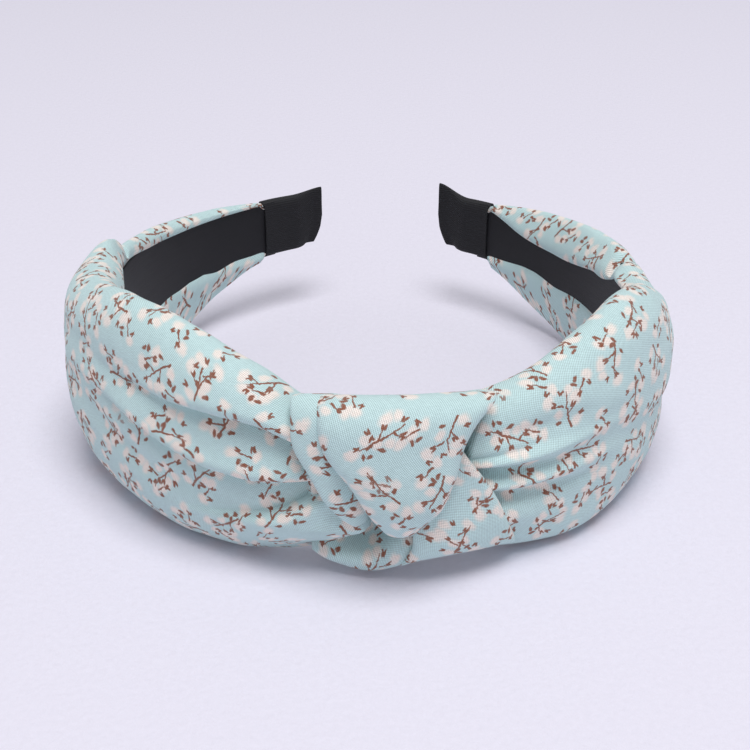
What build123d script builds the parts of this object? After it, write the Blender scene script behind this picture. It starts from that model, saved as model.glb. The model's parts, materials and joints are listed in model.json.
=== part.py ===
from build123d import *

import os
from math import cos, radians, sin

# A knotted headband: a springy moulded hoop, lined with satin ribbon, dressed in two wide cloth
# wings that meet in a knot on the crown, with a ribbon sleeve on each tip.
#
# Millimetres. The hoop is drawn round its own axis, which is parallel to Z: the crown and its knot
# are at -Y, the open tips at +Y, the wearer's sides at -X and +X, and Z = 0 is the middle of the
# hoop's width. At the end everything moves so that the origin is under the middle of the whole
# headband, on the surface that it lies on.
#
# A place on the hoop is an arm: the length along its inner face from the middle of the crown,
# positive towards the +X tip. A depth is a distance outwards from that inner face.

# --- The hoop ---------------------------------------------------------------------------------
HEAD_R = 62.0  # radius of the inner face round the crown
CROWN_DEG = 125.0  # the crown is a true circle this far each side of its middle
ARM_R = 75.0  # past it, the arms are a little straighter
CORE_END = 174.0  # half the hoop's length
CORE_THICK = 2.0
CORE_HALF = 11.0  # half its width at the crown and the sides
CORE_TIP_HALF = 7.9  # half its width at the tips
TAPER_FROM = 22.0  # the width narrows past this Y
TIP_Y = 62.0
TIP_ROUND = 5.0

# --- Layers on the hoop -----------------------------------------------------------------------
GAP = 0.1  # between solids that lie against each other
LINING_THICK = 0.4
LINING_HALF = 10.6
LINING_END = 171.0  # its ends are inside the sleeves
LIP_THICK = 0.5  # the turned edge of the wings' cloth, and the tape between the two edges
LIP_HALF = 6.5  # the turned edges reach this close to the middle of the hoop
CORE_IN = LINING_THICK + LIP_THICK + 2 * GAP  # depth of the core's inner face
CORE_OUT = CORE_IN + CORE_THICK

# --- Sleeves on the tips ----------------------------------------------------------------------
SLEEVE_START = 162.3
SLEEVE_TUBE_END = 174.4  # the tube ends just past the core
SLEEVE_END = 178.4  # the ribbon's end is pressed flat between the two
SLEEVE_THICK = 0.55
PRESSED_THICK = 1.2
PRESSED_TOP = 10.4  # the pressed end is wider than the tube
PRESSED_BOTTOM = -8.8

# --- Wings ------------------------------------------------------------------------------------
WING_START = 14.5  # where a wing goes under the knot
WING_END = SLEEVE_START - GAP
WING_STATIONS = 13
CLOTH = 0.5
ROLL_LEAN = 0.35  # how far out the rolled edges stand, as a share of the wing's depth
TIP_SPARE = 1.4  # how far the cloth stands off the core where it goes into the sleeve
# Each measure of a wing: its size under the knot and at its fullest, then the arms between which it
# grows, and those between which it closes down to the tip.
WING_TOP = (13.0, 27.5, (8.0, 45.0), (52.0, 140.0))
WING_BOTTOM = (-20.0, -26.0, (8.0, 45.0), (132.0, WING_END))
WING_DEPTH = (8.0, 12.7, (8.0, 60.0), (85.0, 152.0))

# --- Knot -------------------------------------------------------------------------------------
KNOT_FRONT = 79.5  # from the hoop's axis to the front of the knot
KNOT_TOP = 20.5
KNOT_TOP_R = 71.5
KNOT_BOTTOM = -25.5
KNOT_BOTTOM_R = 69.5
KNOT_BELLY = 2.0  # height of the frontmost point
KNOT_TURN = 30.0  # degrees each side of the middle that its bands may reach
BAND_THICK = 1.2
UNDER_BAND = 1.4  # a band that passes under the front panel is this much further in
BUNDLE_DEPTH = (65.4, 71.8)  # from the hoop's axis
BUNDLE_HALF = 12.5
BUNDLE_HEIGHT = (-12.5, 14.0)
LOOP_MIDDLE = (-70.2, -19.2)  # Y and Z
LOOP_SIZE = (4.6, 6.1)
LOOP_SPAN = (-11.8, 8.6)


def hoop_point(arm, depth=0.0):
    """The place at this arm and depth, in the hoop's mid plane."""
    side = -1 if arm < 0 else 1
    turn = hoop_turn(arm)
    if abs(arm) <= HEAD_R * radians(CROWN_DEG):
        x, y = 0.0, 0.0
        radius = HEAD_R
    else:
        x = (HEAD_R - ARM_R) * sin(radians(CROWN_DEG))
        y = -(HEAD_R - ARM_R) * cos(radians(CROWN_DEG))
        radius = ARM_R
    return Vector(side * (x + (radius + depth) * sin(turn)), y - (radius + depth) * cos(turn), 0)


def hoop_turn(arm):
    """How far the hoop has turned at this arm, in radians from the middle of the crown."""
    crown = HEAD_R * radians(CROWN_DEG)
    if abs(arm) <= crown:
        return abs(arm) / HEAD_R
    return radians(CROWN_DEG) + (abs(arm) - crown) / ARM_R


def hoop_edges(depth, start, end):
    """The arcs of the hoop's line at one depth, from one arm to another."""
    crown = HEAD_R * radians(CROWN_DEG)
    stops = [start] + [arm for arm in (-crown, crown) if start < arm < end] + [end]
    arcs = []
    for low, high in zip(stops, stops[1:]):
        points = [hoop_point(arm, depth) for arm in (low, (low + high) / 2, high)]
        arcs.append(ThreePointArc(*points))
    return arcs


def band(near, far, start, end, half):
    """A strip of the hoop between two depths and two arms, as wide as 2 * half at the crown."""
    ends = [Line(hoop_point(arm, near), hoop_point(arm, far)) for arm in (start, end)]
    plan = make_face(hoop_edges(near, start, end) + hoop_edges(far, start, end) + ends)
    return extrude(plan, amount=2 * half, both=True) & side_view(half)


def side_view(half):
    """A solid with the hoop's outline from the side: parallel edges that narrow to the tips."""
    tip_half = half - (CORE_HALF - CORE_TIP_HALF)
    beyond = 2 * TIP_Y
    narrow = half - (half - tip_half) * (beyond - TAPER_FROM) / (TIP_Y - TAPER_FROM)
    outline = Polyline(
        (0, -beyond, -half), (0, TAPER_FROM, -half), (0, beyond, -narrow),
        (0, beyond, narrow), (0, TAPER_FROM, half), (0, -beyond, half), close=True,
    )
    return extrude(make_face(outline), amount=2 * TIP_Y, dir=(1, 0, 0), both=True)


def across(arm):
    """The plane across the hoop at one arm: its X is the depth and its Y is up."""
    turn = hoop_turn(arm)
    side = -1 if arm < 0 else 1
    outward = Vector(side * sin(turn), -cos(turn), 0)
    return Plane(origin=hoop_point(arm), x_dir=outward, z_dir=outward.cross(Vector(0, 0, 1)))


def core_half(arm):
    """Half the core's width at one arm."""
    past = max(0.0, hoop_point(arm).Y - TAPER_FROM) / (TIP_Y - TAPER_FROM)
    return CORE_HALF - (CORE_HALF - CORE_TIP_HALF) * past


def hoop_core():
    """The moulded hoop, with rounded corners on its two tips."""
    core = band(CORE_IN, CORE_OUT, -CORE_END, CORE_END, CORE_HALF)
    corners = [
        edge for edge in core.edges()
        if edge.length < 1.2 * CORE_THICK and edge.center().Y > TAPER_FROM
        and abs(edge.center().Z) > CORE_TIP_HALF / 2
    ]
    return fillet(corners, TIP_ROUND)


def lining_ribbon():
    """The satin ribbon that touches the head."""
    return band(0, LINING_THICK, -LINING_END, LINING_END, LINING_HALF)


def lining_tape():
    """The tape that holds the lining to the hoop between the wings' turned edges."""
    near = LINING_THICK + GAP
    tape = band(near, near + LIP_THICK, -LINING_END, LINING_END, CORE_HALF)
    return tape & Box(4 * HEAD_R, 4 * HEAD_R, 2 * LIP_HALF - 2 * GAP)


def smooth(share):
    """0 to 1, level at both ends."""
    share = min(max(share, 0.0), 1.0)
    return share * share * (3 - 2 * share)


def wing_size(measure, arm, at_tip):
    """One measure of a wing at one arm."""
    root, full, (open_from, open_to), (close_from, close_to) = measure
    opening = smooth((abs(arm) - open_from) / (open_to - open_from))
    closing = smooth((abs(arm) - close_from) / (close_to - close_from))
    return (root + (full - root) * opening) * (1 - closing) + at_tip * closing


def wing_outline(arm):
    """The cloth cut across at one arm: a closed, thin C with its ends turned under the lining."""
    half = core_half(arm) + GAP
    top = wing_size(WING_TOP, arm, half + TIP_SPARE)
    bottom = wing_size(WING_BOTTOM, arm, -half - TIP_SPARE)
    depth = wing_size(WING_DEPTH, arm, CORE_OUT + TIP_SPARE)
    flat = wing_size((0.0, 0.0, *WING_DEPTH[2:]), arm, 1.0)
    near = LINING_THICK + GAP
    square = 0.71 + 0.2 * flat  # how far the curve goes into its corners
    wall = CLOTH

    def curve(inset):
        lean = near + (depth - near) * ROLL_LEAN * (1 - flat) + inset
        front, high, low = depth - inset, top - inset, bottom + inset
        side = half + wall - inset
        return Spline(
            (near + inset, side),
            (near + inset + 0.25 * (lean - near), side + 0.55 * (high - side)),
            (lean, high),
            (lean + square * (front - lean), square * high),
            (front, 0.1 * (high + low)),
            (lean + square * (front - lean), square * low),
            (lean, low),
            (near + inset + 0.25 * (lean - near), -side + 0.55 * (low + side)),
            (near + inset, -side),
        )

    outer, inner = curve(0.0), curve(wall)
    lips = []
    for sign in (1, -1):
        points = [
            (near, sign * (half + wall)), (near, sign * LIP_HALF),
            (near + wall, sign * LIP_HALF), (near + wall, sign * half),
        ]
        lips += [Line(a, b) for a, b in zip(points, points[1:])]
    return across(arm) * make_face([outer, inner] + lips)


def wing(side):
    """One wing, from under the knot to the sleeve on its tip."""
    step = (WING_END - WING_START) / (WING_STATIONS - 1)
    return loft([wing_outline(side * (WING_START + step * i)) for i in range(WING_STATIONS)])


def tip_sleeve(side):
    """A ribbon tube on one tip, pressed flat past the end of the core."""
    reach = sorted((side * SLEEVE_START, side * SLEEVE_TUBE_END))
    tube = band(
        -GAP - SLEEVE_THICK, CORE_OUT + GAP + SLEEVE_THICK, *reach, CORE_HALF + GAP + SLEEVE_THICK
    )
    bore = band(-GAP, CORE_OUT + GAP, -SLEEVE_TUBE_END, SLEEVE_TUBE_END, CORE_HALF + GAP)
    middle = (CORE_OUT - PRESSED_THICK) / 2
    mouth_half = core_half(SLEEVE_TUBE_END) + GAP + SLEEVE_THICK
    mouth = [(-GAP - SLEEVE_THICK, -mouth_half), (CORE_OUT + GAP + SLEEVE_THICK, mouth_half)]
    pressed = [(middle, PRESSED_BOTTOM), (middle + PRESSED_THICK, PRESSED_TOP)]
    sections = []
    for arm, (low, high) in (
        (side * SLEEVE_TUBE_END, mouth),
        (side * (SLEEVE_TUBE_END + SLEEVE_END) / 2, pressed),
        (side * SLEEVE_END, pressed),
    ):
        centre = ((low[0] + high[0]) / 2, (low[1] + high[1]) / 2)
        shape = Pos(*centre) * Rectangle(high[0] - low[0], high[1] - low[1])
        sections.append(across(arm) * shape)
    return tube - bore + loft(sections, ruled=True)


def knot_band(outline, inwards=0.0):
    """A band of the knot: cloth that bulges over the front, cut to an outline of X and Z."""
    def arc(inset):
        return ThreePointArc(
            (0, inset - KNOT_TOP_R, KNOT_TOP),
            (0, inset - KNOT_FRONT, KNOT_BELLY),
            (0, inset - KNOT_BOTTOM_R, KNOT_BOTTOM),
        )

    outer, inner = arc(inwards), arc(inwards + BAND_THICK)
    ends = [Line(outer @ end, inner @ end) for end in (0, 1)]
    profile = make_face([outer, inner] + ends).rotate(Axis.Z, -KNOT_TURN)
    sheet = revolve(profile, Axis.Z, 2 * KNOT_TURN)
    edge = Polyline(*[(x, 0, z) for x, z in outline], close=True)
    return sheet & extrude(make_face(edge), amount=2 * HEAD_R, dir=(0, -1, 0))


def knot_front_panel():
    """The cloth that passes over the front of the knot, from the upper right to the lower left."""
    return knot_band([
        (-9.6, 20.4), (26.0, 20.4), (17.5, 7.2), (8.3, -11.2), (2.7, -11.8), (-4.3, -1.5), (-9.6, 7.0),
    ])


def knot_side_pleat():
    """The fold that shows along the left of the front panel."""
    return knot_band([(-16.0, 20.0), (-9.8, 20.4), (-9.8, 7.0), (-4.5, -1.5), (-2.7, -9.0), (-11.0, 4.0)])


def knot_fan():
    """The cloth that spreads from under the panel's right edge to the bottom of the knot."""
    return knot_band(
        [(18.7, 8.0), (28.6, -13.8), (25.5, -20.0), (9.2, -25.3), (9.2, -11.0)], UNDER_BAND
    )


def knot_lower_loop():
    """The loop of cloth that comes round the bottom of the knot."""
    y, z = LOOP_MIDDLE
    start, end = LOOP_SPAN
    section = Plane(origin=(start, y, z), x_dir=(0, 1, 0), z_dir=(1, 0, 0)) * Ellipse(*LOOP_SIZE)
    return extrude(section, amount=end - start)


def knot_bundle():
    """The cloth bunched up inside the knot, which the other bands go round."""
    near, far = BUNDLE_DEPTH
    low, high = BUNDLE_HEIGHT
    section = Pos(0, -(near + far) / 2, low) * Ellipse(BUNDLE_HALF, (far - near) / 2)
    return extrude(section, amount=high - low)


def headband():
    """Every node of the headband, by name."""
    return {
        "hoop_core": hoop_core(),
        "lining_ribbon": lining_ribbon(),
        "lining_tape": lining_tape(),
        "tip_sleeve_left": tip_sleeve(-1),
        "tip_sleeve_right": tip_sleeve(1),
        "wing_left": wing(-1),
        "wing_right": wing(1),
        "knot_bundle": knot_bundle(),
        "knot_lower_loop": knot_lower_loop(),
        "knot_side_pleat": knot_side_pleat(),
        "knot_fan": knot_fan(),
        "knot_front_panel": knot_front_panel(),
    }


nodes = headband()
whole = Compound([solid for node in nodes.values() for solid in node.solids()]).bounding_box()
to_origin = Pos(-whole.center().X, -whole.center().Y, -whole.min.Z)
print("hoop axis at", to_origin.position, "size", whole.size)

os.makedirs("parts", exist_ok=True)
for name, solid in nodes.items():
    export_step(to_origin * solid, f"parts/{name}.step")
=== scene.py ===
import json
import math

import bpy
import numpy as np
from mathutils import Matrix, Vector


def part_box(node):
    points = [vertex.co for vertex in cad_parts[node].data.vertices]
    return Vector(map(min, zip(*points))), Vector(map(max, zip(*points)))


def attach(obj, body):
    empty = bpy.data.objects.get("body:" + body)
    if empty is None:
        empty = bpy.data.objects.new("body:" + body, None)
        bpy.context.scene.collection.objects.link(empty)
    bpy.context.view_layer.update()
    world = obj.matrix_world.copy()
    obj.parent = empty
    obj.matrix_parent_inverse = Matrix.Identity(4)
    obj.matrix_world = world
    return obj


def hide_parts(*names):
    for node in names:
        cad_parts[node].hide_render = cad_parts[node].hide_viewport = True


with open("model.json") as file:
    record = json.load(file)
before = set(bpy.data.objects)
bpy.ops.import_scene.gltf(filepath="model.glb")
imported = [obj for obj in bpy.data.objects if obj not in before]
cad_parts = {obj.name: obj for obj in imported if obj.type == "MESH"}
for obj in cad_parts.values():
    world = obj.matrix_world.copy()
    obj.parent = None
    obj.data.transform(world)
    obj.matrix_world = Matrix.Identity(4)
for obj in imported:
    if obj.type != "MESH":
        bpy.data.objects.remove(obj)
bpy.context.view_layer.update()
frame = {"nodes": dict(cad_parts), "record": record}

# The headband lies on its side: the knot at the front (-Y), the tips at the back. A place on it is
# (arm, height, depth) in millimetres: the length along the hoop's inner face from the middle of the
# crown, positive to +X; the height above the middle of the hoop's width; and the distance outwards
# from the inner face. on_hoop() turns such places into metres in the CAD frame.
MM = 0.001
GRIP = next(mount for mount in frame["record"]["mounts"] if mount["name"] == "head_grip")
HEAD_R = GRIP["dims"]["r_mm"]
AXIS_Y, MIDDLE_Z = GRIP["pos_m"][1] / MM, GRIP["pos_m"][2] / MM
CROWN = math.radians(125)  # the crown is a true circle this far each side; the arms are straighter
ARM_R = 75.0
CORE_TIP = 174.0
SLEEVE_LEFT = (164.0, 182.0)
SLEEVE_RIGHT = (161.2, 177.0)
LINING_HALF = 10.6

# Cloth, in millimetres.
CLOTH_THICK = 0.45
LINING_THICK = 0.3
SLEEVE_THICK = 0.35
WEAVE_PITCH = 0.54
CALM_FROM, CALM_AT = 138.0, 168.0  # a wing's soft unevenness dies away between these arms

# The photographer's view.
VIEW_UP = math.radians(29.4)
VIEW_DISTANCE = 0.320
VIEW_TARGET = (0.9, -20.8, 26.0)  # millimetres
LENS, SENSOR = 66.576, 36.0

# Colours, linear.
MINT = (0.560, 0.745, 0.755)
CREAM = (0.92, 0.82, 0.755)
RUSSET = (0.27, 0.074, 0.030)
SATIN_BLACK = (0.009, 0.009, 0.012)
RIBBON_BLACK = (0.012, 0.012, 0.015)
FLOOR = (0.80, 0.775, 0.88)


# --- Curves and grids -------------------------------------------------------------------------
def on_hoop(arm, height, depth):
    """Places on the hoop as points in metres; the inputs are arrays of one shape."""
    crown_arm = HEAD_R * CROWN
    along = np.abs(arm)
    on_arm = along > crown_arm
    turn = np.where(on_arm, CROWN + (along - crown_arm) / ARM_R, along / HEAD_R)
    shift = np.where(on_arm, HEAD_R - ARM_R, 0.0)
    radius = np.where(on_arm, ARM_R, HEAD_R) + depth
    x = np.where(arm < 0, -1.0, 1.0) * (shift * math.sin(CROWN) + radius * np.sin(turn))
    y = -shift * math.cos(CROWN) - radius * np.cos(turn) + AXIS_Y
    return np.stack([x, y, height + MIDDLE_Z], axis=-1) * MM


def spline_weights(knots, at):
    """The matrix that turns values at knots into a natural cubic spline's values at other places."""
    knots, at = np.asarray(knots, float), np.asarray(at, float)
    count = len(knots)
    gap = np.diff(knots)
    left, right = np.eye(count), np.zeros((count, count))
    for i in range(1, count - 1):
        left[i, i - 1:i + 2] = gap[i - 1], 2 * (gap[i - 1] + gap[i]), gap[i]
        right[i, i - 1:i + 2] = 6 / gap[i - 1], -6 / gap[i - 1] - 6 / gap[i], 6 / gap[i]
    bend = np.linalg.solve(left, right)
    cell = np.clip(np.searchsorted(knots, at) - 1, 0, count - 2)
    g = gap[cell][:, None]
    a, b = ((knots[cell + 1] - at) / gap[cell])[:, None], ((at - knots[cell]) / gap[cell])[:, None]
    unit = np.eye(count)
    cubic_a, cubic_b = (a ** 3 - a) * g * g / 6, (b ** 3 - b) * g * g / 6
    return a * unit[cell] + b * unit[cell + 1] + cubic_a * bend[cell] + cubic_b * bend[cell + 1]


def profile(arms, stations):
    """A measure along the hoop: straight between its stations, then rounded over a few millimetres."""
    keys, values = zip(*stations)
    fine = np.arange(-20.0, 200.0, 0.5)
    line = np.interp(fine, keys, values)
    kernel = np.hanning(25)
    padded = np.pad(line, len(kernel) // 2, mode="edge")
    return np.interp(arms, fine, np.convolve(padded, kernel / kernel.sum(), mode="valid"))


def bump(x):
    """1 at 0, falling smoothly to nothing by about 2."""
    return np.exp(-x * x)


def ease(x):
    x = np.clip(x, 0, 1)
    return x * x * (3 - 2 * x)


def lengths(points, axis):
    """The running length of a grid's lines along one axis."""
    steps = np.linalg.norm(np.diff(points, axis=axis), axis=-1)
    start = np.zeros_like(np.take(steps, [0], axis=axis))
    return np.concatenate([start, np.cumsum(steps, axis=axis)], axis=axis)


def ripples(first, second, seed, size):
    """Smooth noise of about -1 to 1 over two coordinates, from a few waves of one rough size."""
    draw = np.random.default_rng(seed)
    total = np.zeros_like(first)
    for _ in range(9):
        angle, phase = draw.uniform(0, math.tau, 2)
        pitch = size * draw.uniform(0.7, 1.6)
        total += np.sin((first * math.cos(angle) + second * math.sin(angle)) * math.tau / pitch + phase)
    return total / 4


def cut_from(cloth, turn, shift):
    """Moves a piece's flat places to where it was cut from the printed cloth."""
    cosine, sine = math.cos(turn), math.sin(turn)
    across, along = cloth[..., 0], cloth[..., 1]
    moved = (across * cosine - along * sine + shift[0], across * sine + along * cosine + shift[1])
    return np.stack(moved, axis=-1)


def grid_mesh(name, points, cloth=None, loop=False):
    """A smooth mesh over a grid of points in metres. cloth is each point's place on the flat cloth, mm."""
    rows, columns = points.shape[:2]
    index = np.arange(rows * columns).reshape(rows, columns)
    if loop:
        index = np.concatenate([index, index[:, :1]], axis=1)
    quads = np.stack([index[:-1, :-1], index[1:, :-1], index[1:, 1:], index[:-1, 1:]], axis=-1)
    mesh = bpy.data.meshes.new(name)
    mesh.from_pydata(points.reshape(-1, 3).tolist(), [], quads.reshape(-1, 4).tolist())
    mesh.shade_smooth()
    if cloth is not None:
        places = np.zeros((rows * columns, 3))
        places[:, :2] = cloth.reshape(-1, 2)
        mesh.attributes.new("cloth", "FLOAT_VECTOR", "POINT").data.foreach_set("vector", places.ravel())
    piece = bpy.data.objects.new(name, mesh)
    bpy.context.scene.collection.objects.link(piece)
    return piece


def thicken(piece, thickness, offset=-1.0):
    """Gives a sheet its thickness, in millimetres, away from its face side."""
    solid = piece.modifiers.new("thickness", "SOLIDIFY")
    solid.thickness = thickness * MM
    solid.offset = offset
    return piece


def apply_modifiers(piece):
    """Replaces the piece's mesh by what its modifiers make of it."""
    seen = piece.evaluated_get(bpy.context.evaluated_depsgraph_get())
    made = bpy.data.meshes.new_from_object(seen)
    piece.modifiers.clear()
    piece.data = made
    return piece


# --- Node helpers -----------------------------------------------------------------------------
class Maths:
    """Builds Math nodes from ordinary sums: Value objects add, multiply and compare."""

    def __init__(self, tree):
        self.tree = tree

    def node(self, operation, *inputs, clamp=False):
        made = self.tree.nodes.new("ShaderNodeMath")
        made.operation = operation
        made.use_clamp = clamp
        for socket, value in zip(made.inputs, inputs):
            self.feed(socket, value)
        return Value(self, made.outputs[0])

    def feed(self, socket, value):
        if isinstance(value, Value):
            self.tree.links.new(value.socket, socket)
        else:
            socket.default_value = value

    def step(self, value, low, high):
        """0 up to low, 1 from high, smooth between; low may be the larger."""
        made = self.tree.nodes.new("ShaderNodeMapRange")
        made.interpolation_type = "SMOOTHSTEP"
        flipped = low > high
        self.feed(made.inputs["Value"], value)
        made.inputs["From Min"].default_value = min(low, high)
        made.inputs["From Max"].default_value = max(low, high)
        made.inputs["To Min"].default_value = 1.0 if flipped else 0.0
        made.inputs["To Max"].default_value = 0.0 if flipped else 1.0
        return Value(self, made.outputs["Result"])

    def floor(self, value):
        return self.node("FLOOR", value)

    def sine(self, value):
        return self.node("SINE", value)

    def length(self, x, y):
        return self.node("SQRT", x * x + y * y)

    def larger(self, *values):
        result = values[0]
        for value in values[1:]:
            result = self.node("MAXIMUM", result, value)
        return result

    def turned(self, x, y, angle):
        """The coordinates in axes turned by an angle, which may be a Value."""
        if isinstance(angle, Value):
            cosine, sine = self.node("COSINE", angle), self.node("SINE", angle)
        else:
            cosine, sine = math.cos(angle), math.sin(angle)
        return x * cosine + y * sine, y * cosine - x * sine

    def split(self, vector):
        made = self.tree.nodes.new("ShaderNodeSeparateXYZ")
        self.tree.links.new(vector, made.inputs[0])
        return [Value(self, output) for output in made.outputs]

    def join(self, x, y, z=0.0):
        made = self.tree.nodes.new("ShaderNodeCombineXYZ")
        for socket, value in zip(made.inputs, (x, y, z)):
            self.feed(socket, value)
        return made.outputs[0]

    def chance(self, x, y, seed):
        """Three random numbers from 0 to 1 for each whole x and y."""
        made = self.tree.nodes.new("ShaderNodeTexWhiteNoise")
        made.noise_dimensions = "3D"
        self.tree.links.new(self.join(x, y, seed), made.inputs["Vector"])
        return self.split(made.outputs["Color"])

    def noise(self, vector, scale, detail=2.0):
        """Noise of about -1 to 1, as three Values."""
        made = self.tree.nodes.new("ShaderNodeTexNoise")
        made.inputs["Scale"].default_value = scale
        made.inputs["Detail"].default_value = detail
        self.tree.links.new(vector, made.inputs["Vector"])
        return [part * 2.0 - 1.0 for part in self.split(made.outputs["Color"])]


class Value:
    """A socket that takes part in sums."""

    def __init__(self, maths, socket):
        self.maths = maths
        self.socket = socket

    def __add__(self, other):
        return self.maths.node("ADD", self, other)

    def __radd__(self, other):
        return self.maths.node("ADD", other, self)

    def __sub__(self, other):
        return self.maths.node("SUBTRACT", self, other)

    def __rsub__(self, other):
        return self.maths.node("SUBTRACT", other, self)

    def __mul__(self, other):
        return self.maths.node("MULTIPLY", self, other)

    def __rmul__(self, other):
        return self.maths.node("MULTIPLY", other, self)

    def __truediv__(self, other):
        return self.maths.node("DIVIDE", self, other)

    def __abs__(self):
        return self.maths.node("ABSOLUTE", self)


def mixed(tree, share, first, second):
    """A colour between two, each a colour or a socket."""
    made = tree.nodes.new("ShaderNodeMix")
    made.data_type = "RGBA"
    tree.links.new(share.socket, made.inputs["Factor"])
    for socket, colour in zip([s for s in made.inputs if s.type == "RGBA"], (first, second)):
        if isinstance(colour, tuple):
            socket.default_value = (*colour, 1.0)
        else:
            tree.links.new(colour, socket)
    return next(s for s in made.outputs if s.type == "RGBA")


def new_material(name):
    material = bpy.data.materials.new(name)
    material.use_nodes = True
    return material, material.node_tree, material.node_tree.nodes["Principled BSDF"]


def add_bump(tree, shader, height, distance, strength=1.0, under=None):
    """Feeds a height, 0 to 1, to the shader's normal; distance is in metres."""
    made = tree.nodes.new("ShaderNodeBump")
    made.inputs["Distance"].default_value = distance
    made.inputs["Strength"].default_value = strength
    tree.links.new(height.socket, made.inputs["Height"])
    if under is not None:
        tree.links.new(under, made.inputs["Normal"])
    tree.links.new(made.outputs[0], shader.inputs["Normal"])
    return made.outputs[0]


# --- The print --------------------------------------------------------------------------------
def stroke(m, x, y, start, angle, length, width, bend=0.0):
    """A bent brush stroke from start: full at its root, thinner to its end."""
    along, across = m.turned(x - start[0], y - start[1], angle)
    across = across - along * along * bend
    reach = m.step(along, -0.15, 0.1) * m.step(along, length, length - 0.35)
    edge = abs(across) - width * 0.5 + along * (0.3 * width / length)
    return m.step(edge, 0.10, -0.08) * reach


def bud(m, x, y, place, angle, size=1.45):
    """A bud: two short, plump strokes that open from one point."""
    return m.larger(
        stroke(m, x, y, place, angle - 0.38, size, 0.78),
        stroke(m, x, y, place, angle + 0.38, size, 0.78),
    )


def dab(m, x, y, place, angle, long, wide, soft):
    """A soft oval spot."""
    along, across = m.turned(x - place[0], y - place[1], angle)
    return m.step(m.length(along * (1 / long), across * (1 / wide)), 1.0 + soft, 1.0 - soft)


def sprig_cells(m, x, y, size, seed):
    """Cuts the cloth into squares and gives each its own turned coordinates, and three chances."""
    column, row = m.floor(x / size), m.floor(y / size)
    one, two, three = m.chance(column, row, seed)
    own_x = x - (column + 0.5) * size + (one - 0.5) * (0.18 * size)
    own_y = y - (row + 0.5) * size + (two - 0.5) * (0.18 * size)
    own_x, own_y = m.turned(own_x, own_y, three * math.tau)
    return own_x, own_y, (one, two, three)


def large_sprig(m, x, y, seed):
    """A curved twig with side shoots, buds and blossoms. Returns the twig's and the petals' cover."""
    x, y, (one, _, _) = sprig_cells(m, x, y, 13.2, seed)
    bend = (one - 0.5) * 0.10
    brown = m.larger(
        stroke(m, x, y, (-5.0, -0.7), 0.08, 8.4, 0.58, bend),
        stroke(m, x, y, (-2.2, -0.5), 0.85, 2.6, 0.52, 0.05),
        stroke(m, x, y, (0.6, -0.3), -0.85, 2.2, 0.50, -0.06),
        bud(m, x, y, (-0.7, 1.2), 0.95),
        bud(m, x, y, (1.8, -1.7), -0.7),
        bud(m, x, y, (3.1, 0.4), 0.5),
        bud(m, x, y, (-3.6, 2.0), 1.5),
        dab(m, x, y, (-2.5, -2.6), -0.9, 0.80, 0.42, 0.3),
    )
    petals = m.larger(
        dab(m, x, y, (0.6, 3.0), 0.3, 1.60, 1.25, 0.5),
        dab(m, x, y, (2.9, 2.3), 1.2, 1.30, 1.00, 0.5),
        dab(m, x, y, (3.5, -2.8), 0.9, 1.55, 1.15, 0.5),
        dab(m, x, y, (-4.4, 1.0), 1.4, 1.35, 1.05, 0.5),
        dab(m, x, y, (-0.6, -2.0), 0.2, 1.20, 0.95, 0.5),
    )
    return brown, petals


def small_sprig(m, x, y, seed):
    """A short shoot with a bud, three loose petals' stalks and a blossom or two."""
    x, y, (_, two, _) = sprig_cells(m, x, y, 9.4, seed)
    brown = m.larger(
        stroke(m, x, y, (-1.9, -0.2), 0.1, 3.0, 0.54, 0.08),
        bud(m, x, y, (0.9, 0.2), 0.2),
        dab(m, x, y, (-1.6, 2.0), 0.5, 0.80, 0.42, 0.3),
        dab(m, x, y, (-0.3, 2.2), 1.7, 0.80, 0.42, 0.3),
        bud(m, x, y, (-1.0, -2.1), 2.2),
    )
    petals = m.larger(
        dab(m, x, y, (2.0, 1.6), 0.5, 1.55, 1.15, 0.5),
        dab(m, x, y, (-2.8, -0.8), 1.5, 1.30, 1.00, 0.5),
    )
    shown = m.step(two, 0.08, 0.14)
    return brown * shown, petals * shown


def weave_height(m, x, y):
    """A plain weave: warp and weft pass over each other in turn. Height is 0 to 1."""
    turn = math.tau / WEAVE_PITCH
    over = m.sine(x * turn) * m.sine(y * turn)
    return 0.5 + 0.30 * over + 0.20 * m.sine((x + y) * turn)


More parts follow.
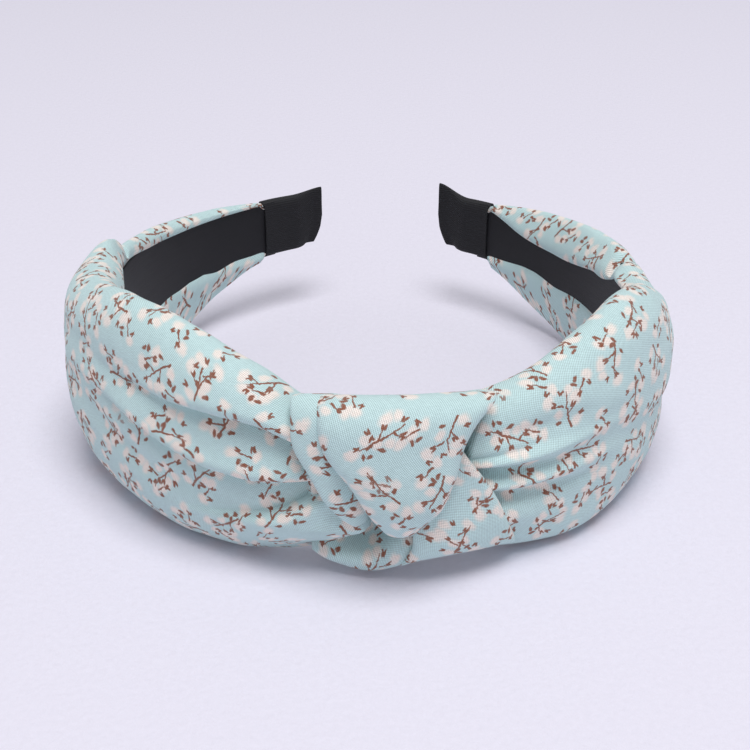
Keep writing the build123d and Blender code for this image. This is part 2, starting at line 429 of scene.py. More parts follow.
def printed_cotton():
    """Pale green-blue cotton printed with blossom twigs, with painted shade in the weave's hollows."""
    material, tree, shader = new_material("printed_cotton")
    m = Maths(tree)
    place = tree.nodes.new("ShaderNodeAttribute")
    place.attribute_name = "cloth"
    x, y, _ = m.split(place.outputs["Vector"])
    weave = weave_height(m, x, y)
    drift = m.noise(m.join(x, y), 0.30, 2.0)
    rag = m.noise(m.join(x, y), 1.5, 2.0)
    wobbly_x = x + drift[0] * 0.7 + rag[0] * 0.34
    wobbly_y = y + drift[1] * 0.7 + rag[1] * 0.34
    brown, petals = large_sprig(m, wobbly_x, wobbly_y, 3.0)
    turned_x, turned_y = m.turned(wobbly_x, wobbly_y, 0.62)
    second = small_sprig(m, turned_x + 4.1, turned_y + 2.7, 11.0)
    brown = m.larger(brown, second[0])
    petals = m.larger(petals, second[1])
    thread = m.noise(m.join(x * 0.7, y * 3.0), 1.0, 2.0)
    # Painted shade: the colour is darker in the weave's low places and lighter on the thread tops, with
    # random tone from drift and thread on top.
    shade = 0.97 + 0.04 * drift[2] + 0.70 * (weave - 0.5) + 0.14 * thread[0]
    base = mixed(tree, m.node("MULTIPLY", petals, 0.92 + 0.20 * rag[2], clamp=True), MINT, CREAM)
    base = mixed(tree, m.node("MULTIPLY", brown, 0.92 + 0.14 * rag[0], clamp=True), base, RUSSET)
    tint = tree.nodes.new("ShaderNodeMix")
    tint.data_type = "RGBA"
    tint.blend_type = "MULTIPLY"
    tint.inputs["Factor"].default_value = 1.0
    colours = [socket for socket in tint.inputs if socket.type == "RGBA"]
    tree.links.new(base, colours[0])
    tree.links.new(m.join(shade, shade, shade), colours[1])
    tree.links.new(next(s for s in tint.outputs if s.type == "RGBA"), shader.inputs["Base Color"])
    shader.inputs["Roughness"].default_value = 0.85
    shader.inputs["Specular IOR Level"].default_value = 0.22
    shader.inputs["Sheen Weight"].default_value = 0.20
    shader.inputs["Sheen Roughness"].default_value = 0.5
    add_bump(tree, shader, weave, 0.00012, 0.8)
    return material


def satin(name):
    """Smooth black ribbon, with faint lengthwise threads."""
    material, tree, shader = new_material(name)
    m = Maths(tree)
    place = tree.nodes.new("ShaderNodeAttribute")
    place.attribute_name = "cloth"
    x, y, _ = m.split(place.outputs["Vector"])
    threads = 0.5 + 0.5 * m.sine(y * (math.tau / 0.28))
    slubs = m.noise(m.join(x * 0.12, y * 1.6), 1.0, 3.0)
    shader.inputs["Base Color"].default_value = (*SATIN_BLACK, 1.0)
    rough = 0.50 + 0.06 * slubs[0]
    tree.links.new(rough.socket, shader.inputs["Roughness"])
    shader.inputs["Specular IOR Level"].default_value = 0.30
    add_bump(tree, shader, threads + 0.4 * slubs[1], 0.00003, 0.6)
    return material


def ribbed(name):
    """Black ribbon with ribs along the hoop, with painted shade between the ribs."""
    material, tree, shader = new_material(name)
    m = Maths(tree)
    place = tree.nodes.new("ShaderNodeAttribute")
    place.attribute_name = "cloth"
    x, y, _ = m.split(place.outputs["Vector"])
    ribs = abs(m.sine(y * (math.pi / 0.62)))
    crumb = m.noise(m.join(x, y), 2.2, 3.0)
    # Painted shade: darker down between the ribs, lighter on their crests.
    shade = 0.75 + 0.5 * ribs
    colour = m.join(shade * RIBBON_BLACK[0], shade * RIBBON_BLACK[1], shade * RIBBON_BLACK[2])
    tree.links.new(colour, shader.inputs["Base Color"])
    shader.inputs["Roughness"].default_value = 0.75
    shader.inputs["Specular IOR Level"].default_value = 0.30
    shader.inputs["Sheen Weight"].default_value = 0.06
    add_bump(tree, shader, ribs + 0.15 * crumb[0], 0.00012, 0.8)
    return material


def moulded_plastic(name):
    """The hoop's black plastic, faintly grained."""
    material, tree, shader = new_material(name)
    m = Maths(tree)
    where = tree.nodes.new("ShaderNodeTexCoord")
    grain = m.noise(where.outputs["Object"], 900.0, 2.0)
    shader.inputs["Base Color"].default_value = (0.012, 0.012, 0.013, 1.0)
    tree.links.new((0.45 + 0.05 * grain[0]).socket, shader.inputs["Roughness"])
    add_bump(tree, shader, 0.5 + 0.5 * grain[1], 0.00002, 0.5)
    return material


def tape_film(name):
    """The bonding tape: off-white, slightly mottled."""
    material, tree, shader = new_material(name)
    m = Maths(tree)
    where = tree.nodes.new("ShaderNodeTexCoord")
    mottle = m.noise(where.outputs["Object"], 300.0, 2.0)
    colour = mixed(tree, 0.5 + 0.5 * mottle[0], (0.55, 0.53, 0.47), (0.66, 0.64, 0.58))
    tree.links.new(colour, shader.inputs["Base Color"])
    shader.inputs["Roughness"].default_value = 0.6
    return material


# --- Wings ------------------------------------------------------------------------------------
# Each measure of a wing along its arm, as (arm, millimetres).
LEFT_WING = {
    "top": [(0, 11.0), (8, 12), (12, 13.0), (16, 16.2), (19, 18.6), (24, 21.2), (31, 24.0), (37, 26.0),
            (43, 27.2), (50, 27.4), (60, 26.0), (75, 22.2), (90, 19.9), (97, 20.6), (101.5, 20.8),
            (105.5, 15.4), (112, 13.8), (125, 12.6), (137, 11.2), (150, 9.8), (163, 8.0), (170, 7.4)],
    "bottom": [(0, -19.5), (8, -21.8), (14, -23.6), (25, -25.2), (40, -25.8), (55, -26), (118, -26),
               (128, -24.2), (136, -21.0), (141, -18.8), (150, -14.8), (158, -11.6), (165, -9.6), (170, -9)],
    "belly": [(0, 8.0), (14, 10.2), (25, 11.8), (40, 12.8), (60, 12.9), (72, 13.8), (82, 13.2), (90, 10.8),
              (97, 8.0), (103, 6.2), (110, 5.6), (125, 5.2), (140, 4.8), (150, 4.2), (163, 3.2), (170, 3.0)],
    "low": [(0, 0.70), (30, 0.66), (60, 0.64), (180, 0.62)],
    "cover": [(0, 10), (60, 10), (90, 12.0), (97, 12.8), (102, 12.4), (109, 10.8), (116, 9.8), (127, 8.6),
              (150, 7.6), (163, 7.2)],
    "sag": [(0, 0.6), (40, 0.8), (78, 1.4), (86, 2.4), (94, 1.8), (101, 0.8), (108, 0.2), (116, 0.8),
            (150, 0.8), (163, 0.4)],
}
RIGHT_WING = {
    "top": [(0, 11.0), (10, 12.0), (20, 13.0), (26, 14.2), (31, 16.0), (37, 18.2), (47, 22.4), (58, 25.4),
            (66, 24.4), (75, 20.6), (84, 15.6), (92, 12.8), (105, 12.2), (120, 12.8), (135, 11.2),
            (150, 9.6), (163, 7.8), (170, 7.4)],
    "bottom": [(0, -19), (8, -20), (14, -21.6), (25, -24.2), (40, -25.9), (55, -26), (122, -26),
               (132, -24.5), (138, -22.3), (145, -19.0), (152, -15.2), (157, -12.6), (163, -9.8), (170, -9)],
    "belly": [(0, 8.0), (14, 9.0), (25, 11.2), (40, 13.0), (55, 13.6), (75, 12.4), (88, 9.8), (98, 7.8),
              (110, 6.8), (125, 6.4), (140, 5.6), (150, 4.6), (163, 3.2), (170, 3.0)],
    "low": [(0, 0.70), (20, 0.74), (45, 0.78), (62, 0.68), (85, 0.62), (180, 0.62)],
    "cover": [(0, 10), (60, 10), (90, 10), (102, 9.0), (108, 5.2), (115, 5.0), (122, 3.1), (132, 1.1),
              (141, 1.5), (150, 2.8), (157, 5.5), (162, 7.4)],
    "sag": [(0, 0.6), (40, 0.8), (92, 1.4), (100, 2.8), (104, 0.4), (109, 3.2), (120, 3.0), (134, 2.4),
            (150, 1.6), (163, 0.4)],
}
# Where each control point of a wing's cross-section lies along the cloth, as a share.
SECTION_KNOTS = (0, 0.03, 0.08, 0.15, 0.23, 0.32, 0.43, 0.54, 0.65, 0.76, 0.85, 0.92, 0.97, 1.0)


def wing_section(arms, sizes):
    """The wing's cross-section at each arm, as control points (height, depth): from under the
    lining's upper edge, over the top roll, down the front, round the bottom roll and back."""
    top, bottom, belly, low, cover, sag = (
        profile(arms, sizes[key]) for key in ("top", "bottom", "belly", "low", "cover", "sag")
    )
    half = LINING_HALF - 2.6 * ease((arms - 110) / 60)
    lean = 0.34 * belly
    points = [
        (np.minimum(cover + 1.4, half), np.full_like(arms, 0.25)),
        (cover + 0.1, -0.55 * sag),
        (cover + 0.12 * (top - cover) + 0.5, -sag),
        (cover + 0.62 * (top - cover), -0.45 * sag),
        (top - 0.3, lean * 0.62),
        (top * 0.93, belly * 0.62),
        (top * 0.60, belly * 0.90),
        (top * 0.10 + bottom * 0.08, belly),
        (bottom * 0.50, belly * 0.92),
        (bottom * (0.68 + 0.28 * low), belly * low),
        (bottom, lean * 1.1 * low),
        (-half + 0.60 * (bottom + half), np.full_like(arms, 0.2)),
        (-half - 0.4, np.full_like(arms, -0.5)),
        (-half + 1.6, np.full_like(arms, 0.25)),
    ]
    return np.stack([np.stack(point, axis=-1) for point in points], axis=1)


def ledge(arm, height, line, depths, above, below, sharp=0.6):
    """A fold whose upper side overhangs its lower side along a line of (arm, height) points. depths
    are (arm, size); a negative size puts the lower side in front. Returns the shift out, and up."""
    middle, size = profile(arm, line), profile(arm, depths)
    past = height - middle
    reach = np.where(past > 0, above, below)
    step = np.tanh(past / sharp) * np.exp(-np.abs(past / reach) ** 1.5)
    return 0.5 * size * step, -0.22 * np.abs(size) * np.sign(size) * bump(past / 1.1)


def groove(arm, height, line, depths, width):
    """A rounded valley (negative size) or ridge (positive) along a line."""
    shape = profile(arm, depths) * bump((height - profile(arm, line)) / width)
    return shape, np.zeros_like(shape)


def left_pleats(arm, height):
    """The gathers of the left wing where it goes into the knot."""
    folds = [
        ledge(arm, height, [(8, 6.5), (14, 9.3), (20, 12.4), (28, 13.0), (36, 12.6), (50, 13)],
              [(8, 7.0), (14, 8.2), (22, 7.4), (30, 5.4), (40, 3.0), (62, 0)], 5.0, 5.0, 0.9),
        ledge(arm, height, [(8, -1.0), (11, -0.4), (17, -1.2), (25, -0.6), (33, 0.6), (42, 3.2), (54, 6)],
              [(8, 4.4), (12, 5.2), (20, 5.6), (30, 4.8), (42, 3.2), (56, 1.4), (70, 0)], 3.8, 3.6, 0.7),
        ledge(arm, height, [(3, -2), (8.4, -4.6), (13, -9.2), (16.5, -11), (22, -12.4), (34, -13.5)],
              [(3, -6.4), (8, -6.4), (14, -5.6), (18, -4.0), (26, -1.8), (38, 0)], 4.0, 5.0, 0.5),
        groove(arm, height, [(20, 8.0), (30, 7.8), (44, 9)], [(12, 0), (20, 0.6), (32, 0.5), (50, 0)], 2.6),
        groove(arm, height, [(20, 17.5), (34, 19), (50, 20)], [(12, 0.2), (22, 0.8), (50, 0)], 3.4),
        groove(arm, height, [(0, -11.5), (8, -13), (16, -16)], [(0, 4.6), (7, 3.4), (14, 1.4), (22, 0)], 5.0),
        groove(arm, height, [(26, -9), (46, -6), (70, 1), (90, 6)],
               [(22, 0), (32, -0.9), (50, -1.2), (70, -0.7), (92, 0)], 3.0),
        groove(arm, height, [(40, 14), (60, 13), (85, 10)], [(36, 0), (50, -0.9), (70, -0.7), (90, 0)], 3.6),
    ]
    return sum(fold[0] for fold in folds), sum(fold[1] for fold in folds)


def right_pleats(arm, height):
    """The gathers of the right wing, which spread from the pinch beside the knot."""
    folds = [
        ledge(arm, height, [(12, 2.8), (18, 3.4), (22, 3.6), (28, 4.2), (36, 5.4)],
              [(12, 3.2), (20, 3.2), (24, 2.2), (29, 0.8), (35, 0)], 3.0, 1.6, 0.9),
        groove(arm, height, [(14, 1.0), (20, 1.5), (30, 2.0), (44, 3.0)],
               [(14, 1.6), (20, 2.0), (30, 1.6), (40, 0.8), (54, 0)], 1.5),
        groove(arm, height, [(14, 5.0), (24, 6.2), (34, 7.4), (48, 9.0)],
               [(14, 0), (22, -1.0), (30, -1.1), (46, 0)], 2.2),
        groove(arm, height, [(14, -1.0), (20, -1.4), (26, -1.6), (36, -1.4), (46, -1.0)],
               [(14, -2.8), (22, -2.8), (28, -1.8), (44, 0)], 1.6),
        groove(arm, height, [(14, -3.6), (22, -4.6), (30, -4.4), (46, -3.8)],
               [(14, 1.2), (22, 1.6), (34, 1.2), (54, 0)], 1.7),
        groove(arm, height, [(14, -6.4), (23, -8.0), (35, -7.8), (50, -7.2)],
               [(14, -1.8), (23, -2.4), (34, -1.5), (50, 0)], 1.8),
        groove(arm, height, [(14, -11), (24, -13), (40, -15)], [(14, 1.4), (24, 1.6), (44, 0)], 3.2),
        groove(arm, height, [(40, 9), (60, 8), (80, 6)], [(30, 0), (46, 0.6), (66, 0.5), (84, 0)], 4.0),
        groove(arm, height, [(44, -2), (64, -5), (90, -9)], [(38, 0), (54, -1.0), (72, -0.8), (92, 0)], 3.4),
    ]
    out, up = sum(fold[0] for fold in folds), sum(fold[1] for fold in folds)
    # The valley at the knot's upper right, where the cloth goes in under the panel.
    brink = np.interp(height, [2, 5, 8, 11, 14, 17, 20], [17.6, 18.2, 19.4, 20.8, 22.4, 24.2, 26.0])
    return out - 6.5 * ease((brink - arm) / 1.5) * ease((height - 1) / 2.5), up


def cross_creases(arm, height, lines):
    """Creases across the hoop: each (arm, lean, depth, width), lean being arm per height."""
    total = np.zeros_like(arm)
    for middle, lean, size, width in lines:
        total += size * bump((arm - middle - lean * height) / width)
    return total


LEFT_CREASES = ((105.6, 0.1, -2.4, 1.3), (102, 0.1, 0.9, 1.8), (112, 0.2, 0.6, 4.0))
RIGHT_CREASES = ((103, 0.3, -2.2, 1.5), (98, 0.25, 0.5, 3.0), (110, 0.2, 0.9, 3.2), (119, 0.1, -0.4, 2.4))


def wing(name, side, sizes, pleats, creases, mouth, sleeve_start, seed):
    """One wing of the cover, as a sheet with its edges turned in under the lining. mouth is how far
    its end under the knot starts along the arm, as (height, arm) points."""
    arms = np.linspace(0.0, sleeve_start + 3.0, 300)
    control = wing_section(arms, sizes)
    across = spline_weights(SECTION_KNOTS, np.linspace(0, 1, 220))
    section = np.einsum("vk,akc->avc", across, control)
    height, depth = section[..., 0], section[..., 1]
    arm = np.repeat(arms[:, None], height.shape[1], axis=1)
    front = ease((depth / profile(arms, sizes["belly"])[:, None] - 0.15) / 0.4)
    start = np.interp(height, *zip(*mouth))
    turned_in = 2.6 * (1 - ease(arm / 1.6)) * front
    arm = arm + start * np.clip(1 - arm / 26, 0, 1) * front
    out, up = pleats(arm, height)
    fade = ease((CALM_AT - arm) / (CALM_AT - CALM_FROM))
    soft = 0.28 * ripples(arm, height * 1.4, seed, 26) + 0.10 * ripples(arm, height, seed + 1, 9)
    above_edge = height - profile(arms, sizes["cover"])[:, None]
    top_side = ease(above_edge / 3.5) * (0.3 + 0.7 * (1 - front))
    smooth = depth
    inner_soft = (1 - front) * 0.35 * fade * ripples(arm, height, seed + 2, 17)
    depth = depth + front * (out + soft * fade) + inner_soft
    depth = np.maximum(depth - turned_in, np.minimum(smooth, 3.6) - 0.35)
    height = height + front * up + top_side * cross_creases(arm, height, creases)
    inside = ease((arm - sleeve_start + 1.6) / 1.8)
    height = height * (1 - 0.16 * inside) - 0.3 * inside
    depth = depth + (1.4 - depth) * 0.35 * inside
    points = on_hoop(side * arm, height, depth)
    middle = points.shape[1] // 2
    along = lengths(points, 0)[:, middle] / MM
    widths = lengths(points, 1) / MM
    widths = widths - widths[:, middle:middle + 1]
    cloth = np.stack([np.broadcast_to(along[:, None], widths.shape), widths], axis=-1)
    if side > 0:
        points, cloth = points[:, ::-1], cloth[:, ::-1]
    piece = grid_mesh(name, points, cut_from(cloth, 0.4 * side, (60 * side, 11)))
    apply_modifiers(thicken(piece, CLOTH_THICK))
    return piece


# --- Knot bands -------------------------------------------------------------------------------
def net_sheet(name, net, turn, shift, seed):
    """A sheet of the knot's cloth through a net of (arm, height, depth) places: rows run down the
    band, columns across it."""
    net = np.asarray(net, float)
    steps_down = np.linalg.norm(np.diff(net, axis=0), axis=-1).mean(axis=1)
    steps_across = np.linalg.norm(np.diff(net, axis=1), axis=-1).mean(axis=0)
    knots_down = np.concatenate([[0], np.cumsum(steps_down)])
    knots_across = np.concatenate([[0], np.cumsum(steps_across)])
    down = spline_weights(knots_down, np.linspace(0, knots_down[-1], 150))
    across = spline_weights(knots_across, np.linspace(0, knots_across[-1], 150))
    grid = np.einsum("ur,vc,rck->uvk", down, across, net)
    arm, height, depth = grid[..., 0], grid[..., 1], grid[..., 2]
    depth = depth + 0.12 * ripples(arm, height, seed, 14) + 0.04 * ripples(arm, height, seed + 1, 5)
    points = on_hoop(arm, height, depth)
    middle_row, middle_column = grid.shape[0] // 2, grid.shape[1] // 2
    run_down = lengths(points, 0) / MM
    run_across = lengths(points, 1) / MM
    run_across = run_across - run_across[:, middle_column][:, None]
    run_down = run_down - run_down[middle_row][None, :]
    cloth = np.stack([run_across, -run_down], axis=-1)
    piece = grid_mesh(name, points[::-1], cut_from(cloth, turn, shift)[::-1])
    apply_modifiers(thicken(piece, CLOTH_THICK))
    return piece


def pillow(left, right, swell, fold, tuck=2.6, sides=(True, True)):
    """The net of a plump band between two edges that are rows of (arm, height, depth). swell is how
    far its middle stands (up, out); each edge turns under round a radius of fold."""
    net = []
    for low, high, (up, out) in zip(np.array(left, float), np.array(right, float), swell):
        toward = (high - low) * (1, 1, 0)
        toward = toward / np.linalg.norm(toward)
        row = []
        if sides[0]:
            row.append(low + toward * tuck - (0, 0, 2.3 * fold))
            row.append(low + toward * 0.2 * fold - (0, 0, 1.9 * fold))
        row.append(low - (0, 0, 0.8 * fold) if sides[0] else low)
        for share in (0.04, 0.16, 0.36, 0.64, 0.84, 0.96):
            rise = (1 - abs(2 * share - 1) ** 2.6) ** 0.6
            row.append(low + (high - low) * share + np.array([0, up, out]) * rise)
        row.append(high - (0, 0, 0.8 * fold) if sides[1] else high)
        if sides[1]:
            row.append(high - toward * 0.2 * fold - (0, 0, 1.9 * fold))
            row.append(high - toward * tuck - (0, 0, 2.3 * fold))
        net.append(row)
    return net


def front_panel():
    """The wide pass over the knot's front, narrowing to the lower left."""
    left = [(-6.5, 9.4, 0.5), (-7.2, 13.2, 2.2), (-8.2, 16.2, 5.4), (-8.7, 17.8, 9.4),
            (-8.5, 17.0, 12.4), (-8.3, 14.8, 14.0), (-8.0, 11.6, 14.6), (-6.8, 7.8, 14.9),
            (-4.9, 4.6, 15.1), (-2.8, 0.9, 15.2), (-0.7, -4.1, 15.0), (1.3, -8.2, 14.0),
            (2.8, -10.6, 12.8), (3.6, -11.6, 10.4)]
    right = [(17, 9.4, 0.5), (19.4, 12.4, 1.9), (21.3, 14.9, 5.0), (22.2, 16.9, 9.4),
             (20.6, 16.6, 12.2), (18.6, 15.0, 13.2), (16.4, 11.4, 13.7), (14.9, 7.2, 14.2),
             (14.1, 3.6, 14.8), (12.8, -0.6, 15.2), (11.4, -4.6, 15.1), (8.9, -8.0, 14.4),
             (7.0, -10.8, 13.2), (6.4, -12.0, 10.8)]
    swell = [(0, 0), (0.4, 0.1), (0.8, 0.2), (1.2, 0.4), (0.9, 1.2), (0.4, 2.0), (0, 2.5), (0, 2.8), (0, 2.9),
             (0, 2.8), (0, 2.5), (0, 1.8), (-0.6, 1.1), (-0.6, 0.3)]
    return net_sheet("cloth_front_panel", pillow(left, right, swell, 0.8), 0.25, (90, 14), 31)


def side_pleat():
    """The fold along the panel's left edge, which runs down under its lower left."""
    left = [(-11.5, 9.4, 0.5), (-12.4, 13.0, 2.6), (-13.2, 15.7, 5.6), (-13.7, 17.2, 8.8),
            (-13.4, 15.8, 10.9), (-13.2, 13.4, 11.9), (-13.0, 9.4, 12.3), (-11.8, 5.9, 12.5),
            (-10.1, 2.5, 12.7), (-8.3, -2.0, 12.9), (-6.1, -5.8, 12.9),
            (-4.2, -8.4, 12.5), (-2.6, -10.0, 12.0)]
    right = [(-5.0, 9.4, 0.4), (-5.7, 13.0, 2.0), (-6.4, 16.0, 4.6), (-7.0, 17.6, 8.2),
             (-7.0, 16.4, 11.2), (-6.8, 14.2, 12.4), (-6.4, 10.8, 12.4), (-5.2, 7.2, 11.8),
             (-4.0, 4.2, 11.2), (-2.6, 1.0, 10.8), (-1.0, -3.0, 10.6), (-0.4, -6.6, 10.6),
             (-0.9, -9.2, 10.6)]
    swell = [(0, 0), (0.2, 0.1), (0.4, 0.2), (0.5, 0.3), (0.3, 0.6), (0.1, 1.0), (0, 1.3), (0, 1.6), (0, 1.9),
             (0, 2.0), (0, 1.7), (0, 1.2), (0, 0.6)]
    net = pillow(left, right, swell, 0.7, 1.6, (True, False))
    return net_sheet("cloth_side_pleat", net, 0.1, (120, 60), 37)


def fan():
    """The pass that spreads from the pinch at the panel's right to the bottom of the knot."""
    left = [(12.4, 9.0, 7.5), (11.6, 4.6, 9.8), (10.2, -0.6, 10.8), (8.8, -5.6, 11.6), (7.8, -10.0, 12.6),
            (7.7, -13.4, 13.0), (7.6, -16.8, 12.6), (6.4, -20.2, 11.2), (5.4, -22.4, 9.0), (6.4, -21.6, 4.0)]
    right = [(14.6, 8.4, 9.6), (16.2, 4.8, 11.6), (19.0, -0.2, 12.0), (21.6, -5.3, 12.0), (23.6, -10.2, 11.7),
             (25.2, -14.2, 11.2), (26.6, -17.8, 10.5), (27.6, -20.8, 9.6), (26.6, -22.0, 7.0),
             (25.0, -21.0, 3.0)]
    swell = [(0, 0.3), (0, 0.5), (0, 0.7), (0, 0.9), (0, 1.1), (0.3, 1.2), (0.8, 1.3), (1.8, 1.2), (2.4, 0.6),
             (2.0, 0.2)]
    return net_sheet("cloth_fan", pillow(left, right, swell, 0.7), -0.6, (12, 140), 41)


def lower_loop():
    """The loop round the bottom of the knot: a rolled lip with a hollow above it."""
    # Down each cross-section: two places in the hollow's roof, its bed, the lip's ridge, its face,
    # its foot and where it turns under.
    sections = [
        [(-11.6, -19.4, 3.6), (-11.6, -19.8, 4.2), (-11.5, -20.2, 4.8), (-11.4, -20.7, 5.3),
         (-11.3, -21.2, 5.5), (-11.2, -21.6, 5.0), (-11.0, -21.2, 3.2)],
        [(-8.6, -14.5, 4.4), (-8.7, -16.6, 4.8), (-8.8, -18.6, 5.6), (-8.8, -20.3, 7.0), (-8.6, -21.4, 7.6),
         (-8.3, -22.2, 6.8), (-8.1, -21.4, 4.0)],
        [(-5.0, -10.5, 3.6), (-5.2, -13.8, 3.8), (-5.3, -17.0, 4.8), (-5.5, -19.8, 8.4), (-5.3, -21.4, 9.0),
         (-5.0, -23.0, 7.8), (-4.8, -22.2, 4.0)],
        [(-1.0, -9.0, 3.4), (-1.1, -13.0, 3.4), (-1.2, -17.0, 4.4), (-1.2, -19.7, 9.2), (-1.1, -21.8, 9.9),
         (-1.0, -23.7, 8.4), (-0.9, -22.8, 4.0)],
        [(3.0, -9.0, 3.6), (3.0, -12.4, 3.8), (3.1, -15.2, 4.8), (3.2, -17.4, 9.8), (3.2, -20.4, 10.5),
         (3.2, -23.0, 8.8), (3.2, -22.2, 4.0)],
        [(6.4, -9.0, 4.8), (6.5, -10.8, 5.2), (6.6, -12.4, 6.4), (6.8, -14.4, 9.6), (6.9, -18.2, 10.4),
         (6.6, -21.6, 8.8), (6.4, -21.4, 4.0)],
        [(9.0, -10.0, 6.0), (9.2, -11.2, 6.6), (9.4, -12.4, 7.6), (9.7, -13.6, 8.8), (9.8, -16.8, 9.0),
         (9.6, -19.8, 8.0), (9.4, -20.2, 5.0)],
    ]
    net = np.array(sections, float).transpose(1, 0, 2)
    return net_sheet("cloth_lower_loop", net, 1.2, (55, 33), 43)


def bundle():
    """The gathered cloth inside the knot: an upright, pleated roll."""
    low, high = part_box("knot_bundle")
    middle = (low + high) / 2
    half = (high - low) / 2
    angle = np.linspace(0, math.tau, 96, endpoint=False)
    rise = np.linspace(-1, 1, 40)
    pleat = 1 + 0.05 * np.sin(angle * 13) + 0.03 * np.sin(angle * 7 + 1)
    round_over = np.sqrt(np.clip(1 - np.abs(rise) ** 6, 0.02, 1))[:, None]
    x = middle.x + half.x * np.cos(angle) * pleat * round_over
    y = middle.y + half.y * np.sin(angle) * pleat * round_over
    z = np.repeat((middle.z + half.z * rise)[:, None], len(angle), axis=1)
    points = np.stack([x, y, z], axis=-1)
    cloth = np.stack([x / MM, z / MM], axis=-1)
    piece = grid_mesh("cloth_bundle", points[::-1], cut_from(cloth, 0.0, (7, 77))[::-1], loop=True)
    apply_modifiers(thicken(piece, CLOTH_THICK))
    return piece


# --- Lining and sleeves -----------------------------------------------------------------------
def hoop():
    """The plastic hoop inside the cover, narrower towards its tips."""
    low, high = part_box("hoop_core")
    half = (high.z - low.z) / MM / 2
    arms = np.linspace(-CORE_TIP, CORE_TIP, 240)
    around = np.linspace(0, math.tau, 48, endpoint=False)
    narrow = 1 - 0.40 * ease((np.abs(arms) - 95) / 60)
    across = np.sign(np.cos(around)) * np.abs(np.cos(around)) ** 0.2
    outwards = np.sign(np.sin(around)) * np.abs(np.sin(around)) ** 0.4
    height = half * narrow[:, None] * across[None, :]
    thin = 1 - 0.55 * ease((np.abs(arms) - 164) / 6)[:, None]
    depth = 0.6 + (1.5 + outwards[None, :]) * thin
    points = on_hoop(np.repeat(arms[:, None], len(around), axis=1), height, depth)
    return grid_mesh("moulded_hoop", points, loop=True)


def lining():
    """The satin ribbon on the inner face."""
    arms = np.linspace(-SLEEVE_LEFT[0] - 3, SLEEVE_RIGHT[0] + 3, 400)
    heights = np.linspace(-LINING_HALF, LINING_HALF, 24)
    arm, height = np.meshgrid(arms, heights, indexing="ij")
    half = LINING_HALF * (1 - 0.25 * ease((np.abs(arms) - 110) / 64))
    covers = [profile(np.abs(arms), sizes["cover"]) for sizes in (LEFT_WING, RIGHT_WING)]
    upper = np.minimum(half, np.where(arms < 0, *covers) + 2.2)[:, None]
    share = (height / LINING_HALF + 1) / 2
    droop = 0.4 * ease((np.abs(arm) - 110) / 50)
    depth = 0.06 * ripples(arm, height, 51, 30) + 0.05
    points = on_hoop(arm, -half[:, None] + (half[:, None] + upper) * share - droop, depth)
    piece = grid_mesh("satin_lining", points[::-1], np.stack([arm, height], axis=-1)[::-1])
    apply_modifiers(thicken(piece, LINING_THICK))
    return piece


def sleeve(name, side, reach, corner):
    """The ribbed ribbon on one tip: a snug tube, then the end pressed flat and cut aslant. corner is
    the height of its upper corner."""
    start, end = reach
    press_from = end - 8.5
    arms = np.concatenate([np.linspace(start, press_from, 40), np.linspace(press_from, end, 30)[1:]])
    around = np.linspace(0, math.tau, 120, endpoint=False)
    pressed = ease((arms - press_from) / 7.0)[:, None]
    top = 7.7 + (corner - 7.7) * ease((arms - press_from) / (end - press_from))[:, None]
    bottom = -8.4 + 1.0 * pressed
    inner, outer = -0.65 + 1.3 * pressed, 3.5 - 1.6 * pressed
    middle, half = (top + bottom) / 2, (top - bottom) / 2
    across = np.sign(np.cos(around)) * np.abs(np.cos(around)) ** 0.30
    outwards = np.sign(np.sin(around)) * np.abs(np.sin(around)) ** 0.55
    height = middle + half * across[None, :]
    depth = (inner + outer) / 2 + (outer - inner) / 2 * outwards[None, :]
    arm = np.repeat(arms[:, None], len(around), axis=1)
    arm = arm - 3.0 * pressed ** 2 * np.clip((0.5 - height) / 8.5, 0, 1) ** 1.6
    depth = depth + 0.15 * ripples(arm, height, 61 + side, 12)
    points = on_hoop(side * arm, height, depth)
    girth = lengths(points, 1) / MM
    cloth = np.stack([arm, girth], axis=-1)
    if side > 0:
        points, cloth = points[:, ::-1], cloth[:, ::-1]
    piece = grid_mesh(name, points, cloth, loop=True)
    apply_modifiers(thicken(piece, SLEEVE_THICK))
    return piece


# --- Room, light and camera -------------------------------------------------------------------
def floor():
    """A plain pale floor, faintly uneven in tone."""
    mesh = bpy.data.meshes.new("floor")
    reach = 3.0
    corners = [(-reach, -reach, 0), (reach, -reach, 0), (reach, reach, 0), (-reach, reach, 0)]
    mesh.from_pydata(corners, [], [(0, 1, 2, 3)])
    piece = bpy.data.objects.new("floor", mesh)
    bpy.context.scene.collection.objects.link(piece)
    material, tree, shader = new_material("floor_paper")
    m = Maths(tree)
    where = tree.nodes.new("ShaderNodeTexCoord")
    fine = m.noise(where.outputs["Object"], 700.0, 3.0)
    tint = mixed(tree, 0.5 + 0.5 * fine[0], tuple(0.93 * c for c in FLOOR), FLOOR)
    tree.links.new(tint, shader.inputs["Base Color"])
    shader.inputs["Roughness"].default_value = 0.9
    add_bump(tree, shader, 0.5 + 0.5 * fine[1], 0.0004, 0.5)
    piece.data.materials.append(material)


def lamp(name, place, target, size, power):
    light = bpy.data.lights.new(name, "AREA")
    light.shape = "DISK"
    light.size = size
    light.energy = power
    lamp_object = bpy.data.objects.new(name, light)
    lamp_object.location = place
    lamp_object.rotation_euler = (Vector(target) - Vector(place)).to_track_quat("-Z", "Y").to_euler()
    bpy.context.scene.collection.objects.link(lamp_object)


def studio():
    """Soft light from above and in front, with a pale room all round."""
    world = bpy.data.worlds.new("room")
    world.use_nodes = True
    world.node_tree.nodes["Background"].inputs["Color"].default_value = (0.97, 0.97, 1.0, 1.0)
    world.node_tree.nodes["Background"].inputs["Strength"].default_value = 0.42
    bpy.context.scene.world = world
    lamp("top_light", (0.15, -0.45, 1.95), (0, 0, 0.02), 1.1, 28.5)
    bpy.context.scene.view_settings.view_transform = "Standard"


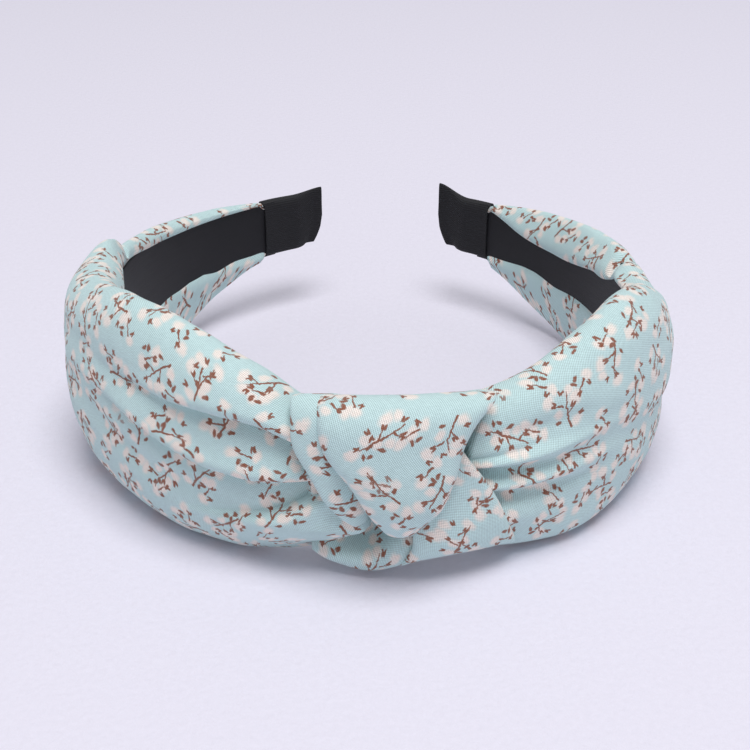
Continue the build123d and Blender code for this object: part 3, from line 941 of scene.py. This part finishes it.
def camera():
    """The photographer's view: from the front and above."""
    target = Vector(VIEW_TARGET) * MM
    back = Vector((0.0, -math.cos(VIEW_UP), math.sin(VIEW_UP)))
    data = bpy.data.cameras.new("camera")
    data.sensor_width = SENSOR
    data.lens = LENS
    data.clip_start = 0.01
    camera_object = bpy.data.objects.new("camera", data)
    camera_object.location = target + back * VIEW_DISTANCE
    camera_object.rotation_euler = (-back).to_track_quat("-Z", "Y").to_euler()
    bpy.context.scene.collection.objects.link(camera_object)
    bpy.context.scene.camera = camera_object


def finish_piece(piece, material, slot, *nodes):
    """Gives a piece its material and its body, and hides the CAD nodes that it stands for."""
    piece.data.materials.clear()
    piece.data.materials.append(material)
    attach(piece, "root")
    if nodes:
        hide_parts(*nodes)


def declare_sheet(flat, area):
    """Turns a piece's flat size, in millimetres, and its area, in square millimetres, into metres; nothing
    keeps the results.
    """
    cut = None if area is None else area * MM * MM
    flat[0] * MM
    flat[1] * MM


def build():
    camera()
    studio()
    floor()
    cotton, satin_black, ribbon_black = printed_cotton(), satin("lining_satin"), ribbed("ribbed_ribbon")
    left_mouth = [(-30, 9.2), (-20.8, 9.6), (-18, 7.2), (-16.5, 5.4), (-13.5, 2.4), (-12, 0), (30, 0)]
    right_mouth = [(-30, 6), (30, 6)]
    left = wing(
        "cloth_wing_left", -1, LEFT_WING, left_pleats, LEFT_CREASES, left_mouth, SLEEVE_LEFT[0], 71
    )
    right = wing(
        "cloth_wing_right", 1, RIGHT_WING, right_pleats, RIGHT_CREASES, right_mouth, SLEEVE_RIGHT[0], 83
    )
    # Each cloth piece, the CAD node that it stands for, what it lies on, and its flat size and area,
    # which are those of the modelled surface: the real cut isn't known.
    for piece, node, under, flat, area in (
        (left, "wing_left", "moulded_hoop", (101, 194), 13400),
        (right, "wing_right", "moulded_hoop", (96, 186), 12400),
        (front_panel(), "knot_front_panel", "cloth_bundle", (45, 56), 1780),
        (side_pleat(), "knot_side_pleat", "cloth_bundle", (13, 46), 540),
        (fan(), "knot_fan", "cloth_bundle", (34, 42), 1020),
        (lower_loop(), "knot_lower_loop", "cloth_bundle", (27, 24), 490),
        (bundle(), "knot_bundle", "moulded_hoop", (57, 27), 1500),
    ):
        finish_piece(piece, cotton, "printed_cotton", node)
        declare_sheet(flat, area)
    ribbon = lining()
    finish_piece(ribbon, satin_black, "lining_satin", "lining_ribbon")
    declare_sheet((21.2, 331), 6600)
    for name, side, reach, corner, girth, node in (
        ("ribbon_tip_left", -1, SLEEVE_LEFT, 9.2, 36, "tip_sleeve_left"),
        ("ribbon_tip_right", 1, SLEEVE_RIGHT, 11.0, 38, "tip_sleeve_right"),
    ):
        tip = sleeve(name, side, reach, corner)
        finish_piece(tip, ribbon_black, "ribbed_ribbon", node)
        declare_sheet((reach[1] - reach[0], girth), None)
    finish_piece(hoop(), moulded_plastic("hoop_plastic"), "hoop_plastic", "hoop_core")
    tape = frame["nodes"]["lining_tape"].data
    tape.materials.clear()
    tape.materials.append(tape_film("bonding_tape"))


build()
